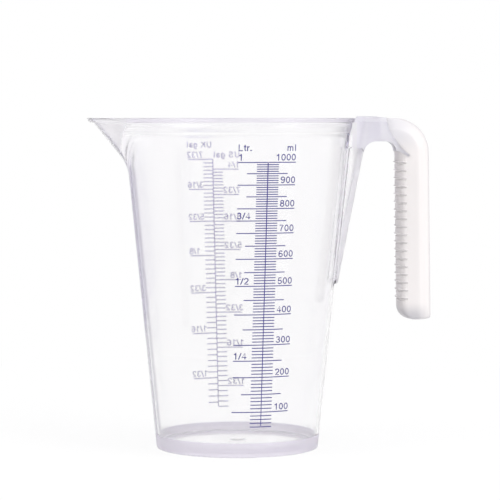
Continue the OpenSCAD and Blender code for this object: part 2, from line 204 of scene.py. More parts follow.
@named
class JugFinishes(bpy.types.PropertyGroup):
    """Colours and finishes"""

    clear: colour("Colour of the clear plastic", (1.0, 0.997, 1.0))
    clear_through: amount("Share of the light that passes the plastic's surface", 0.97)
    clear_rough: amount("Roughness of the clear plastic", 0.05)
    # Painted shade: these edge colours tint the clear plastic where it is seen along its wall, dark on the
    # spout's side and pale on the handle's side
    edge: colour("Colour of the clear plastic's edges on the spout's side", (0.235, 0.215, 0.30))
    far_edge: colour("Colour of the clear plastic's edges on the handle's side", (0.955, 0.945, 0.96))
    lip: colour("Colour of the clear plastic in the lip", (0.90, 0.875, 0.93))
    thick: colour("Colour of the clear plastic in the foot", (0.97, 0.95, 0.99))
    frosted: colour("Colour of the arm's textured plastic", (0.915, 0.90, 0.955))
    frosted_through: amount("Share of the light that passes the arm's surface", 0.66)
    gate: colour("Colour of the clear plastic at the moulding gate", (0.965, 0.957, 0.968))
    foot: colour("Colour of the foot's outer side", (0.84, 0.80, 0.895))
    foot_through: amount("Share of the light that passes the foot's outer side", 0.72)
    keel: colour("Colour of the spout's edges", (1.0, 0.99, 1.0))
    keel_through: amount("Share of the light that passes the spout's edges", 0.62)
    pillar: colour("Colour of the pillar's outer side", (0.95, 0.94, 0.985))
    pillar_through: amount("Share of the light that passes the pillar's outer side", 0.62)
    frosted_rough: amount("Roughness of the arm's textured plastic", 0.42)
    foot_rough: amount("Roughness of the thick foot's surfaces", 0.36)
    spout: colour("Colour of the clear plastic in the spout", (1.0, 0.99, 1.0))
    # Painted shade: a dark rim where the soft grip is seen edge on
    grip_rim: colour("Colour of the soft grip where it is seen along its surface", (0.60, 0.58, 0.59))
    tint: colour("Colour of the plastic's depth", (0.62, 0.58, 0.78))
    tint_density: amount("Strength of the plastic's depth, for each metre", 4.0, 0.0, 500.0)
    grip: colour("Colour of the soft grip", (0.76, 0.727, 0.722))
    grip_end: colour("Colour of the soft grip where it thins out over the arm", (0.67, 0.655, 0.685))
    # Painted shade: the soft grip darkens towards its lower end on the fingers' side
    grip_foot: colour("Colour of the soft grip at its lower end", (0.51, 0.495, 0.52))
    grip_rough: amount("Roughness of the soft grip", 0.42)
    front_ink: colour("Colour of the litre scale's print", (0.022, 0.018, 0.17))
    back_ink: colour("Colour of the gallon scale's print", (0.245, 0.195, 0.50))


@named
class StudioSizes(bpy.types.PropertyGroup):
    """Place of the camera and strength of the light"""

    camera_distance: length("Distance from the jug's axis to the camera", 1.18, 0.2, 5.0)
    camera_height: length("Height of the camera", 0.1705, 0.0, 2.0)
    camera_tilt: angle("Tilt of the camera below level", 3.38)
    lens: bpy.props.FloatProperty(
        description="Focal length", default=166.9, subtype="DISTANCE_CAMERA", unit="CAMERA")
    shift: amount("Sideways shift of the picture", 0.0255, -1.0, 1.0)
    fill: amount("Strength of the even light from all sides", 0.76)
    left_side: colour("Colour that clear pieces see at the left", (0.84, 0.82, 0.89))
    right_side: colour("Colour that clear pieces see at the right", (0.99, 0.985, 0.99))


def settings(context):
    """The scene's settings for this jug."""
    return context.scene.measuring_jug


def outer_radius(jug, z):
    """Radius of the tapered wall's outer side at a height."""
    return jug.base_radius + jug.taper * z


def inner_radius(jug, z):
    """Radius of the tapered wall's inner side at a height."""
    return outer_radius(jug, z) - jug.wall


def fill_height(jug, litres):
    """Height at which the jug holds a volume, from the volume of a truncated cone."""
    r0 = inner_radius(jug, jug.floor_top)
    cube = r0 ** 3 + 3 * jug.taper * litres * 0.001 / math.pi
    return jug.floor_top + (cube ** (1 / 3) - r0) / jug.taper


def eased(share):
    """A smooth step from 0 to 1."""
    return share * share * (3 - 2 * share)


def soft_union(a, b, blend):
    """The smaller of two distances, with a soft bend where they meet."""
    near = np.clip(blend - np.abs(a - b), 0, None) / blend
    return np.minimum(a, b) - near * near * blend / 4


def spout_distance(x, y, z, sizes, wall):
    """Distance outside the spout's two sides, moved inwards by wall."""
    spout, rim = sizes.spout, sizes.jug.rim_height
    sine, cosine = math.sin(spout.spread), math.cos(spout.spread)
    slope = 1 / math.tan(spout.keel_angle)
    below = np.maximum(rim - z, 0)
    past_lip, back_share = 1.01, 0.55
    steep = np.where(below > sizes.jug.lip_height * past_lip, math.hypot(1, slope * sine), 1.0)
    apex = spout.reach - slope * below
    side = np.sqrt(y * y + spout.keel_round ** 2)
    plane = (side * cosine - (x + apex) * sine) / steep
    return np.maximum(plane + wall, x + spout.reach * back_share)


def pillar_distance(x, y, z, sizes, wall):
    """Distance outside the leaning pillar, moved inwards by wall."""
    pillar = sizes.pillar
    face = pillar.top_reach - (pillar.top_height - z) * math.tan(pillar.lean) - wall
    corner = pillar.corner - wall
    across = x - (face - corner)
    aside = np.abs(y) - (pillar.half_width - wall - corner)
    box = np.hypot(np.maximum(across, 0), np.maximum(aside, 0)) - corner
    box = box + np.minimum(np.maximum(across, aside), 0)
    box = np.maximum(box, pillar.half_width * 3 - x)
    return np.maximum(box, pillar.foot_height + wall - z)


def shell_radii(turns, z, step, grow, sizes, inside):
    """Reach of the jug's outer or inner surface in each direction, at the heights z."""
    jug = sizes.jug
    z, step, grow = (np.asarray(v, float)[:, None] for v in (z, step, grow))
    cosine, sine = np.cos(turns), np.sin(turns)
    lean = math.cos(math.atan(jug.taper))
    wall = jug.wall if inside else 0.0
    level = np.minimum(z, jug.rim_height)
    softer_below_collar, softer_over, inner_share, pillar_share = 0.018, 0.02, 1.5, 0.7
    collar = jug.rim_height - jug.collar_height
    rise = np.clip((level - collar + softer_below_collar) / softer_over, 0, 1)
    extra = sizes.spout.collar_blend * eased(rise)
    blend = sizes.spout.blend * (inner_share if inside else 1.0)
    beyond_all, rounds, stride = 0.095, 160, 0.98
    reach = np.full(turns.shape, beyond_all)
    for _ in range(rounds):
        x, y = reach * cosine, reach * sine
        cone = (reach - (outer_radius(jug, level) + step - wall)) * lean
        spout = spout_distance(x, y, level, sizes, sizes.spout.wall if inside else 0.0)
        pillar = pillar_distance(x, y, z, sizes, sizes.pillar.wall if inside else 0.0)
        shape = soft_union(soft_union(cone, spout, blend + extra), pillar, blend * pillar_share)
        reach = reach - np.maximum(shape - grow, 0) * stride
    return reach


# Directions of the columns from the handle to the spout, in degrees: first, end, step
COLUMNS = ((0, 4.6, 1.15), (4.6, 12, 0.17), (12, 22, 1.0), (22, 145, 2.2), (145, 176, 1.0), (176, 180, 0.35))


def turn_list():
    """Directions about the axis, closer together at the spout's keel and the pillar's sides."""
    half = np.radians(np.concatenate([np.arange(*column) for column in COLUMNS]))
    left = -half[1:][::-1]
    return np.concatenate([half, [math.pi], left + 2 * math.pi, [2 * math.pi]])


def turns_at(z, sizes):
    """Directions of the columns at the heights z: near the pillar they follow its leaning corners."""
    turns, pillar = turn_list(), sizes.pillar
    signed = np.where(turns > math.pi, turns - 2 * math.pi, turns)[None, :]
    straight_from, over = 30, 18
    fade = eased(np.clip((straight_from - np.degrees(np.abs(signed))) / over, 0, 1))
    below = pillar.top_height - np.maximum(np.asarray(z, float), pillar.foot_height)
    corner = pillar.top_reach - pillar.corner
    wider = corner / (corner - below * math.tan(pillar.lean)) - 1
    return turns[None, :] + signed * fade * wider[:, None]


def rings(turns, reach, z):
    """Points of level rings, one for each row of reach."""
    points = np.zeros((len(z), turns.shape[-1], 3))
    reach = np.broadcast_to(np.asarray(reach, float).reshape(len(z), -1), points.shape[:2])
    points[:, :, 0] = reach * np.cos(turns)
    points[:, :, 1] = reach * np.sin(turns)
    points[:, :, 2] = np.asarray(z, float)[:, None]
    points[:, -1] = points[:, 0]
    return points


def deselect():
    """Leaves edit mode and deselects everything."""
    if bpy.context.object and bpy.context.object.mode != "OBJECT":
        bpy.ops.object.mode_set(mode="OBJECT")
    bpy.ops.object.select_all(action="DESELECT")


def pick(obj):
    """Selects one piece and makes it active."""
    deselect()
    obj.select_set(True)
    bpy.context.view_layer.objects.active = obj


def edit_all():
    """Enters edit mode with all of the active piece selected."""
    bpy.ops.object.mode_set(mode="EDIT")
    bpy.ops.mesh.select_all(action="SELECT")


def new_piece(name):
    """Names the primitive that was just added."""
    obj = bpy.context.object
    obj.name = obj.data.name = name
    return obj


def grid_piece(name, points):
    """A grid primitive wrapped round a table of points and welded at its seam and poles."""
    rows, columns = points.shape[:2]
    deselect()
    bpy.ops.mesh.primitive_grid_add(x_subdivisions=columns - 1, y_subdivisions=rows - 1, size=1)
    obj = new_piece(name)
    place = np.zeros(len(obj.data.vertices) * 3)
    obj.data.vertices.foreach_get("co", place)
    place = place.reshape(-1, 3)
    column = np.rint((place[:, 0] + 0.5) * (columns - 1)).astype(int)
    row = np.rint((place[:, 1] + 0.5) * (rows - 1)).astype(int)
    obj.data.vertices.foreach_set("co", points[row, column].ravel())
    edit_all()
    bpy.ops.mesh.remove_doubles(threshold=SEAM)
    bpy.ops.mesh.normals_make_consistent(inside=False)
    bpy.ops.object.mode_set(mode="OBJECT")
    return obj


def outline_piece(name, outline, start, run):
    """A flat outline, laid out from a circle primitive and extruded along run."""
    deselect()
    bpy.ops.mesh.primitive_circle_add(vertices=len(outline), fill_type="NGON")
    obj = new_piece(name)
    for vertex, point in zip(obj.data.vertices, outline):
        vertex.co = Vector(point) + Vector(start)
    edit_all()
    bpy.ops.mesh.extrude_region_move(TRANSFORM_OT_translate={"value": run})
    bpy.ops.mesh.select_all(action="SELECT")
    bpy.ops.mesh.normals_make_consistent(inside=False)
    bpy.ops.object.mode_set(mode="OBJECT")
    return obj


def modify(obj, kind, **values):
    """Adds a modifier with its settings and applies it."""
    pick(obj)
    bpy.ops.object.modifier_add(type=kind)
    step = obj.modifiers[-1]
    for name, value in values.items():
        setattr(step, name, value)
    bpy.ops.object.modifier_apply(modifier=step.name)


def cut(obj, other, operation):
    """Joins two closed pieces, cuts the second from the first or keeps their common part."""
    modify(obj, "BOOLEAN", operation=operation, solver="EXACT", object=other)
    bpy.data.objects.remove(other)


def weld(obj):
    """Merges vertices that coincide after a cut, and removes faces without area."""
    pick(obj)
    edit_all()
    bpy.ops.mesh.remove_doubles(threshold=CUT_SEAM)
    bpy.ops.mesh.dissolve_degenerate(threshold=CUT_SEAM)
    bpy.ops.object.mode_set(mode="OBJECT")


def smooth(obj, degrees):
    """Shades a piece smooth, apart from edges sharper than that angle."""
    pick(obj)
    bpy.ops.object.shade_smooth_by_angle(angle=math.radians(degrees))


def bow(x, y, wide, high, start, end, steps=14):
    """Points along part of an ellipse, between two angles in degrees."""
    turns = [math.radians(start + (end - start) * i / steps) for i in range(steps + 1)]
    return [(x + wide * math.cos(turn), y + high * math.sin(turn)) for turn in turns]


def wall_rows(start, foot, along, top, count):
    """Heights of the wall's rings: close together at the pillar's foot and below the collar."""
    up_to_pillar, foot_count, step = (0.012, 0.024, 0.04, 0.058, 0.074), 14, 0.0027
    rows = (*start, *up_to_pillar, *np.linspace(*foot, foot_count), *np.arange(*along, step))
    return [(z, 0, 0) for z in (*rows, *np.linspace(*top, count))]


def shell_points(sizes, floor_rings, wall_rings, inside, closing):
    """Rings of one side of the shell: the floor's round ones, the wall's, then smaller ones that close it."""
    reach, heights = zip(*floor_rings)
    rows = [rings(turns_at(heights, sizes), reach, heights)]
    z, steps, grow = (np.array(v) for v in zip(*wall_rings))
    turns = turns_at(z, sizes)
    rows.append(rings(turns, shell_radii(turns, z, steps, grow, sizes, inside), z))
    for share in closing:
        rows.append(rows[1][-1:] * (share, share, 1))
    return np.concatenate(rows)


def outside_points(sizes):
    """Rings of the jug's outer surface, from the recess under the floor to the middle of the rim's top."""
    jug = sizes.jug
    recess, foot = jug.recess, outer_radius(jug, jug.recess) - jug.foot_width
    wall_start, draw_in = 0.0006, 0.00003
    low = [(r, recess) for r in (0, *FLOOR_RINGS)]
    low += [(foot - back, recess - down) for back, down in ((0.0009, 0), (0.0003, 0.0002), (0, 0.0007))]
    low += [(foot + out, z) for out, z in ((0, 0.0005), (0.0002, 0.0001), (0.0006, 0.0), (0.0014, 0.0))]
    low += [(jug.base_radius - back, z) for back, z in ((0.0007, 0.0), (0.0002, 0.0002))]
    low += [(outer_radius(jug, wall_start) - draw_in, wall_start)]
    rim, collar = jug.rim_height, jug.rim_height - jug.collar_height
    lip = rim - jug.lip_height
    step, width = jug.collar_step, jug.lip_width
    wall = wall_rows(
        (0.0012, 0.004, 0.0074), (0.081, 0.0885), (0.091, 0.1365), (0.138, collar - 0.0006), 26)
    wall += [(collar + up, step * share, 0) for up, share in (
        (0, 0.06), (0.0003, 0.25), (0.0006, 0.6), (0.0009, 0.9), (0.0013, 1), (0.003, 1))]
    wall += [(lip + up, step, width * share) for up, share in (
        (-0.0008, 0), (-0.0003, 0.06), (-0.00005, 0.3), (0, 0.7), (0.00015, 0.93), (0.0005, 1))]
    wall += [(rim - down, step, width * share) for down, share in (
        (0.0007, 1), (0.0003, 0.94), (0.00008, 0.8), (0, 0.55))]
    return shell_points(sizes, low, wall, False, (0.6, 0.0))


def hollow_points(sizes):
    """Rings of the hollow, from the middle of the floor to above the rim."""
    jug = sizes.jug
    floor, fillet = jug.floor_top, jug.floor_fillet
    gate, rise = jug.gate_radius, jug.gate_height
    low = [(0, floor + rise)] + [(gate - rise * back, floor + rise * up) for back, up in (
        (1.6, 1), (1.2, 0.9), (0.5, 0.2), (0, 0))]
    low += [(r, floor) for r in (gate * 1.15, *FLOOR_RINGS)]
    near = floor + fillet
    low += bow(inner_radius(jug, near) - fillet, near, fillet, fillet, -90, -6, 8)
    rim, step = jug.rim_height, jug.collar_step
    ramp, before, run = rim - jug.collar_height + jug.wall, 0.0035, 0.006
    wall = wall_rows(
        (near + 0.0001, near + 0.0003, near + 0.0005), (0.083, 0.0905), (0.093, 0.1395),
        (0.141, ramp - 0.0042), 20)
    wall += [(ramp - before + run * t, step * eased(t), 0) for t in np.linspace(0, 1, 13)]
    wall += [(rim + up, step, wider) for up, wider in (
        (-0.0022, 0), (-0.0012, 0), (-0.0005, 0.00002), (-0.0002, 0.00012), (-0.00005, 0.00028),
        (0.0001, 0.0004), (OVERRUN, 0.0004))]
    return shell_points(sizes, low, wall, True, (0.0,))


def arm_end(sizes):
    """Corners of the arm's slanted end, from its top down to the tongue and back to the finger opening."""
    arm, grip = sizes.arm, sizes.grip
    bend_z = sizes.jug.rim_height - grip.bend_radius
    reach, depth, radius = grip.bend_reach, grip.depth, grip.bend_radius
    tongue, slope, step = depth * 0.06, 0.0006, 0.0018
    return [(arm.reach, arm.top_height - slope), (arm.reach, arm.top_height - step),
            (arm.reach + depth * 0.09, bend_z + radius * 0.62),
            (reach + depth * 0.165, bend_z + radius * 0.16),
            (reach + depth * 0.44, bend_z - tongue),
            (reach + depth * 0.40, bend_z - tongue * 1.9),
            (reach + depth * 0.13, arm.arch_height - arm.arch_grip_radius)]


def arm_piece(sizes):
    """The arm with its gussets, from inside the wall to its slanted end."""
    arm, grip, jug, pillar = sizes.arm, sizes.grip, sizes.jug, sizes.pillar
    root = outer_radius(jug, arm.root_height) - jug.wall / 2
    near, far = arm.arch_radius, arm.arch_grip_radius
    fingers = grip.bend_reach + grip.bend_radius - grip.depth
    arch = bow(fingers - far, arm.arch_height - far, far, far, 0, 90, 10)
    arch += bow(pillar.top_reach + near - jug.lip_width / 2, arm.arch_height - near, near, near, 90, 169, 12)
    rim = jug.rim_height
    lip = outer_radius(jug, rim) + jug.collar_step + jug.lip_width
    below_rim, past_lip, level_end = 0.0003, 0.0008, arm.reach - 0.006
    side = [(root, arm.root_height), (root, rim - below_rim), (lip + below_rim, rim - below_rim),
            (lip + past_lip, arm.top_height), (level_end, arm.top_height)] + arm_end(sizes) + arch
    side += [(pillar.top_reach - jug.lip_width, arm.root_height)]
    w = arm.half_width
    body = outline_piece("arm", [(x, 0, z) for x, z in side], (0, -w, 0), (0, 2 * w, 0))
    top, bevel, under, before, run = arm.top_height, arm.bevel, 0.13, 0.01, 0.06
    section = [(-w * 2, under), (w * 2, under), (w * 2, top - bevel), (w, top - bevel), (w - bevel, top),
               (bevel - w, top), (-w, top - bevel), (-w * 2, top - bevel)]
    section = [(0, y, z) for y, z in section]
    shape = outline_piece("arm_section", section, (root - before, 0, 0), (run, 0, 0))
    cut(body, shape, "INTERSECT")
    flare = arm.root_half_width - w
    wide = math.sqrt(outer_radius(jug, arm.root_height) ** 2 - arm.root_half_width ** 2)
    steps, stretch, into_lip = 14, 1.4, 0.0004
    turns = [math.radians(90 * i / steps) for i in range(steps + 1)]
    curve = [(wide + flare * stretch * (1 - math.cos(t)), w + flare * (1 - math.sin(t))) for t in turns]
    plan = [(wide - OVERRUN, -w - flare), (wide - OVERRUN, w + flare)] + curve
    plan += [(x, -y) for x, y in curve[::-1]]
    low, high = arm.root_height, rim - jug.lip_height + into_lip
    gusset = outline_piece("gusset", [(x, y, 0) for x, y in plan], (0, 0, low), (0, 0, high - low))
    cut(body, gusset, "UNION")
    start = pillar.top_reach + pillar.wall
    draft = 0.0009
    inner, end = w - arm.wall - draft, arm.reach - arm.wall * 1.5
    hollow = outline_piece(
        "arm_hollow", [(start, -inner, 0), (end, -inner, 0), (end, inner, 0), (start, inner, 0)],
        (0, 0, low - OVERRUN), (0, 0, top - arm.wall - low + OVERRUN))
    cut(body, hollow, "DIFFERENCE")
    modify(body, "BEVEL", width=arm.edge, segments=3, limit_method="ANGLE",
           angle_limit=math.radians(28), use_clamp_overlap=True)
    return body


def grip_section(sizes):
    """The grip's whole section from the fingers' side: distance from the bend's centre, then width."""
    grip = sizes.grip
    gap, w, fullness = grip.bend_radius - grip.depth, grip.half_width, 0.8
    half = []
    for degrees in (0, 8, 17, 28, 39, 50, 60, 70, 78, 85, 90):
        t = math.radians(degrees)
        half.append((gap + grip.nose * (1 - max(0, math.cos(t)) ** fullness), w * math.sin(t) ** fullness))
    half += [(gap + grip.nose + past, w) for past in (0.0003, 0.0006, 0.001)]
    back, flat, bevel = grip.bend_radius, grip.back_width, grip.bevel
    half += [(back - bevel + past, w - inwards) for past, inwards in (
        (-0.0016, 0), (-0.0005, 0.00003), (0.0002, 0.00025))]
    half += [(back - bevel * share, w - bevel * inwards) for share, inwards in ((0.62, 0.25), (0.35, 0.42))]
    half += [(back - before, flat / 2 + out) for before, out in (
        (0.0006, 0.0007), (0.00015, 0.0001), (0, -0.0008), (0, -flat / 4))]
    return half + [(back, 0.0)] + [(d, -y) for d, y in half[::-1][:-1]]


def rib_bump(grip, drop):
    """Height at a drop below the bend, as a share of a rib's: below 0 in the groove under each rib."""
    for i in range(grip.rib_count):
        below = (drop - grip.rib_drop - i * grip.rib_pitch) / grip.rib_width
        for middle, half, height in ((-0.36, 0.3, 1), (0.3, 0.36, -grip.groove_depth / grip.rib_height)):
            if abs(below - middle) < half:
                return height * (1 - (abs(below - middle) / half) ** 4)
    return 0.0


def round_share(left, radius):
    """Share of its radius by which a rounded end draws in, where that much is left to its end."""
    return 1 - math.sqrt(max(0.0, 1 - (1 - left / radius) ** 2))


def straight_row(grip, section, drop, run):
    """The section's distances and widths at a drop below the bend, with the ribs and the rounded foot."""
    gap, edge, soften, foot_share, centre_share = grip.bend_radius - grip.depth, 0.0016, 0.0006, 0.62, 0.58
    depth, width = section
    fade = np.clip((gap + grip.rib_reach - depth) / soften, 0, 1)
    bump = rib_bump(grip, drop) * grip.rib_height * fade
    middle = gap + grip.nose
    away = np.hypot(middle - depth, width * grip.nose / grip.half_width) + 1e-9
    depth = depth - bump * np.clip((middle - depth) / away, 0, 1)
    width = width * (1 + bump / grip.half_width)
    left = run - drop
    if left < grip.foot_radius:
        depth = np.maximum(depth, gap)
        inset = round_share(left, grip.foot_radius) * grip.foot_radius
        depth = depth + inset * np.clip(1 - (depth - gap) / (grip.depth * foot_share), 0, 1)
    if left < edge:
        inset = edge * round_share(left, edge)
        centre = gap + grip.depth * centre_share
        depth = depth + np.sign(centre - depth) * np.minimum(inset, abs(centre - depth) * 0.4)
        width = width * (1 - inset / grip.half_width)
    return depth, width


def grip_piece(sizes):
    """The soft grip: its section swept from the arm round the bend and down to its rounded foot."""
    grip = sizes.grip
    bend_z = sizes.jug.rim_height - grip.bend_radius
    section = np.array(grip_section(sizes)).T
    depth, width = section
    over_arm, rows_round, first_drop, apart = 0.0065, 22, 0.002, 0.0005
    rows = [(grip.bend_reach - back, width, bend_z + depth) for back in (over_arm, over_arm / 2)]
    for turn in np.radians(np.linspace(90, 0, rows_round)):
        rows.append((grip.bend_reach + depth * math.cos(turn), width, bend_z + depth * math.sin(turn)))
    run = (bend_z - grip.foot_height) / math.cos(grip.lean)
    drops = [first_drop] + [
        grip.rib_drop + i * grip.rib_pitch + grip.rib_width * share for i in range(grip.rib_count)
        for share in (-0.8, -0.64, -0.52, -0.38, -0.22, -0.1, 0.0, 0.1, 0.22, 0.36, 0.5, 0.62, 0.75)]
    foot = [run - grip.foot_radius * share for share in (1.0, 0.75, 0.5, 0.3, 0.15, 0.06, 0.02, 0.0)]
    for drop in drops + [drop for drop in foot if drop > drops[-1] + apart]:
        depth, width = straight_row(grip, section, drop, run)
        x = grip.bend_reach + depth * math.cos(grip.lean) + drop * math.sin(grip.lean)
        rows.append((x, width, bend_z + depth * math.sin(grip.lean) - drop * math.cos(grip.lean)))
    rows = [np.stack(np.broadcast_arrays(*row), axis=1) for row in rows]
    first, last = rows[0].mean(axis=0), rows[-1].mean(axis=0)
    caps = [np.broadcast_to(first, rows[0].shape), *rows, last + (rows[-1] - last) * 0.5,
            np.broadcast_to(last, rows[0].shape)]
    points = np.array(caps)
    points = np.concatenate([points, points[:, :1]], axis=1)
    return grid_piece("soft_grip_piece", points)


def feed(tree, socket, value):
    """Links a socket to an input, or sets the input to a number or a colour."""
    if isinstance(value, bpy.types.NodeSocket):
        tree.links.new(value, socket)
    else:
        socket.default_value = (*value, 1) if socket.type == "RGBA" else value


def node(tree, kind, inputs=(), **values):
    """Adds a shader node with its settings, then feeds its inputs by name or number."""
    made = tree.nodes.new("ShaderNode" + kind)
    for name, value in values.items():
        setattr(made, name, value)
    for name, value in dict(inputs).items():
        feed(tree, made.inputs[name], value)
    return made


def maths(tree, operation, *values):
    """The outcome of a sum, a product or the like."""
    return node(tree, "Math", enumerate(values), operation=operation).outputs[0]


def fade_between(tree, value, start, end):
    """A mask that goes smoothly from 0 at start to 1 at end."""
    places = {"Value": value, "From Min": start, "From Max": end}
    return node(tree, "MapRange", places, interpolation_type="SMOOTHSTEP").outputs["Result"]


def colour_steps(tree, value, steps):
    """A colour that follows a value through (place, colour) steps."""
    ramp = node(tree, "ValToRGB", {"Fac": value})
    for place, rgb in steps:
        if place in (0.0, 1.0):
            ramp.color_ramp.elements[-int(place)].color = (*rgb, 1)
        else:
            ramp.color_ramp.elements.new(place).color = (*rgb, 1)
    return ramp.outputs["Color"]


def layered(tree, rgb, *layers):
    """Lays (mask, colour) pairs over a colour, one after another."""
    for mask, tone in layers:
        rgb = node(tree, "Mix", {"A": rgb, "B": tone, "Factor": mask}, data_type="RGBA").outputs["Result"]
    return rgb


def shade_of(rgb, share):
    """A colour between white, at 0, and rgb, at 1."""
    return tuple(1 - share * (1 - c) for c in rgb)


def place_masks(tree, jug):
    """A maker of masks from fades by place: each fade's axis, and where it is 0 and 1."""
    place = node(tree, "TexCoord").outputs["Object"]
    parts = node(tree, "SeparateXYZ", {"Vector": place}).outputs
    x, z = parts["X"], parts["Z"]
    level = node(tree, "VectorMath", {0: place, 1: (1, 1, 0)}, operation="MULTIPLY").outputs["Vector"]
    reach = node(tree, "VectorMath", {0: level}, operation="LENGTH").outputs["Value"]
    lip, collar = jug.rim_height - jug.lip_height, jug.rim_height - jug.collar_height
    fades = {
        # Where the clear plastic's painted edge shade is the pale one, on the handle's side
        "handle_side_edge_shade": (x, -0.015, 0.02),
        "round_side": (x, -0.05, -0.044),
        "spout": (x, -0.053, -0.058),
        "floor": (z, 0.0064, 0.0054),
        "foot": (z, 0.0078, 0.0068),
        "foot_ring": (reach, 0.0365, 0.0385),
        "gate": (reach, jug.gate_radius * 1.15, jug.gate_radius * 0.75),
        "pillar": (reach, 0.0585, 0.0595),
        # Above this height the clear plastic's painted edge shade is the pale one too
        "wall_top": (z, 0.142, 0.147),
        "above_ramp": (z, collar - 0.0022, collar - 0.0012),
        "below_lip": (z, collar + 0.0052, collar + 0.0042),
        "lip": (z, lip - 0.0002, lip + 0.0006),
        "over_arm": (x, 0.099, 0.078),
        "grip_top": (z, 0.149, 0.159),
        # Where the grip's painted foot shade lies
        "grip_foot": (z, 0.0755, 0.0675),
        "fingers": (x, 0.101, 0.089),
        "past_fingers": (x, 0.082, 0.0835),
    }

    def mask(*names):
        """1 where all the named fades are 1."""
        value = 1.0
        for name in names:
            value = maths(tree, "MULTIPLY", fade_between(tree, *fades[name]), value)
        return value

    return mask


def moulded_skin():
    """Fine unevenness of a moulded surface: a roughness that changes a little, a grain and a slow wave."""
    if "moulded_skin" in bpy.data.node_groups:
        return bpy.data.node_groups["moulded_skin"]
    group = bpy.data.node_groups.new("moulded_skin", "ShaderNodeTree")
    for way, names in (("INPUT", ("Grain Scale", "Wave Scale", "Roughness", "Variation")),
                       ("OUTPUT", ("Roughness", "Grain", "Wave"))):
        for name in names:
            group.interface.new_socket(name, in_out=way, socket_type="NodeSocketFloat")
    start, end = group.nodes.new("NodeGroupInput").outputs, group.nodes.new("NodeGroupOutput").inputs
    place = node(group, "TexCoord").outputs["Object"]
    middle = 0.5
    for name, detail in (("Grain", 3.0), ("Wave", 1.0)):
        noise = node(group, "TexNoise", {"Vector": place, "Scale": start[name + " Scale"], "Detail": detail})
        feed(group, end[name], noise.outputs["Fac"])
    centred = maths(group, "SUBTRACT", noise.outputs["Fac"], middle)
    rough = maths(group, "MULTIPLY_ADD", centred, start["Variation"], start["Roughness"])
    feed(group, end["Roughness"], rough)
    return group


def new_material(name, **values):
    """A material with its main shader, whose inputs are set by name."""
    made = bpy.data.materials.new(name)
    made.use_nodes = True
    tree = made.node_tree
    tree.nodes.clear()
    inputs = {key.replace("_", " "): value for key, value in values.items()}
    shader = node(tree, "BsdfPrincipled", inputs)
    end = node(tree, "OutputMaterial", {"Surface": shader.outputs["BSDF"]})
    return made, tree, shader, end


def add_skin(tree, shader, rough, grain_scale, wave_scale, grain=0.0, variation=0.1):
    """Feeds the shader's roughness from the moulded skin, and its normal where the grain has a height."""
    skin = node(tree, "Group", {
        "Roughness": rough, "Variation": variation, "Grain Scale": grain_scale, "Wave Scale": wave_scale,
    }, node_tree=moulded_skin())
    feed(tree, shader.inputs["Roughness"], skin.outputs["Roughness"])
    if grain:
        bump = node(tree, "Bump", {"Distance": grain, "Height": skin.outputs["Grain"]})
        feed(tree, shader.inputs["Normal"], bump.outputs["Normal"])
    return skin.outputs


def mottled(tree, skin, rgb, times, plus=0.0):
    """A colour that is paler on the skin's waves."""
    return layered(tree, rgb, (skin["Wave"], tuple(min(1.0, c * times + plus) for c in rgb)))


def clear_plastic(name, sizes):
    """Clear plastic with painted shade where it is seen along its wall, dark on the spout's side and pale on
    the handle's side and near the top, and darker in its thick lip and foot.
    """
    finishes = sizes.finishes
    made, tree, shader, end = new_material(name, IOR=CLEAR_IOR, Transmission_Weight=finishes.clear_through)
    skin = add_skin(tree, shader, finishes.clear_rough, grain_scale=1500.0, wave_scale=22.0, variation=0.02)
    mask = place_masks(tree, sizes.jug)
    # Painted shade: the colour darkens where the wall is seen edge on, with the dark edge colour on the
    # spout's side and the pale one on the handle's side and near the top
    facing = node(tree, "LayerWeight").outputs["Facing"]
    spout_edge_shade, handle_side_edge_shade = (colour_steps(tree, facing, [
        (0.0, finishes.clear), (0.3, finishes.clear), (0.55, shade_of(rgb, 0.03)),
        (0.735, shade_of(rgb, 0.08)), (0.77, shade_of(rgb, 0.95)), (1.0, rgb)])
        for rgb in (finishes.edge, finishes.far_edge))
    pale = maths(tree, "MAXIMUM", mask("handle_side_edge_shade"), mask("wall_top"))
    foot = mask("foot", "foot_ring")
    feed(tree, shader.inputs["Base Color"], layered(
        tree, spout_edge_shade, (pale, handle_side_edge_shade), (mask("floor"), finishes.clear), (mask("lip"), finishes.lip),
        (mask("spout"), finishes.spout), (foot, finishes.thick), (mask("gate", "floor"), finishes.gate)))
    collar_share, pillar_share = 0.4, 0.7
    collar = maths(tree, "MULTIPLY", mask("above_ramp", "below_lip", "round_side"), collar_share)
    pillar = maths(tree, "MULTIPLY", mask("pillar"), pillar_share)
    textured = maths(tree, "MAXIMUM", maths(tree, "MAXIMUM", foot, collar), pillar)
    rough = maths(tree, "MULTIPLY_ADD", textured, finishes.foot_rough, skin["Roughness"])
    feed(tree, shader.inputs["Roughness"], rough)
    depth = node(tree, "VolumeAbsorption", {"Color": finishes.tint, "Density": finishes.tint_density})
    feed(tree, end.inputs["Volume"], depth.outputs["Volume"])
    return made


def frosted_plastic(name, finishes, rgb, through):
    """Clear plastic with a fine moulded texture, for the arm, the foot and the spout's edges."""
    made, tree, shader, end = new_material(name, IOR=CLEAR_IOR, Transmission_Weight=through)
    skin = add_skin(tree, shader, finishes.frosted_rough, grain_scale=1500.0, wave_scale=60.0, grain=0.00003)
    feed(tree, shader.inputs["Base Color"], mottled(tree, skin, rgb, times=1.04))
    return made


